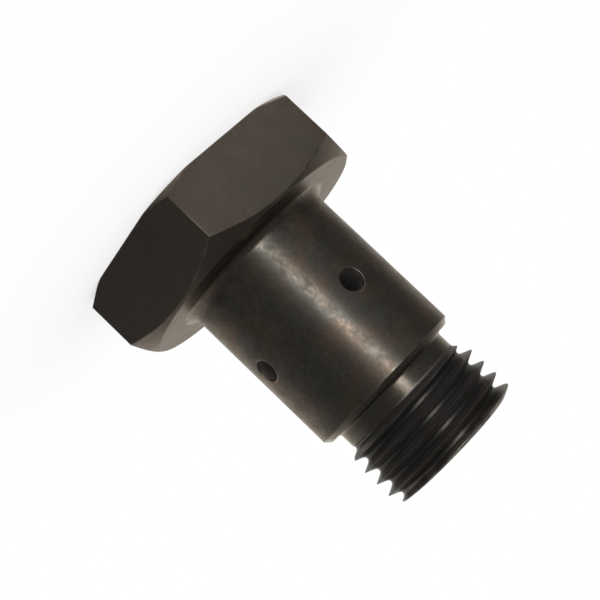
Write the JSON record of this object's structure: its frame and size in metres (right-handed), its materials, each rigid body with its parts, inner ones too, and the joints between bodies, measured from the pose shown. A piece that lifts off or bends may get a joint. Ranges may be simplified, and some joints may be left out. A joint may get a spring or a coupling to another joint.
{
  "type": "banjo bolt",
  "caption": "Hollow hex-head bolt with a smooth seat for a banjo eye, cross holes into an axial oil bore, a relief neck and a fine-threaded end.",
  "frame": {"origin": "centre of the head's outer face, which the bolt stands on", "axes": "+Z along the bolt's axis from the head towards the threaded end; +X and +Y along cross holes"},
  "size_m": [0.0182, 0.0194, 0.022],
  "materials": {
    "blackened_steel": "blackened, satin"
  },
  "bodies": {
    "root": {"banjo_bolt": "blackened_steel"}
  },
  "joints": []
}
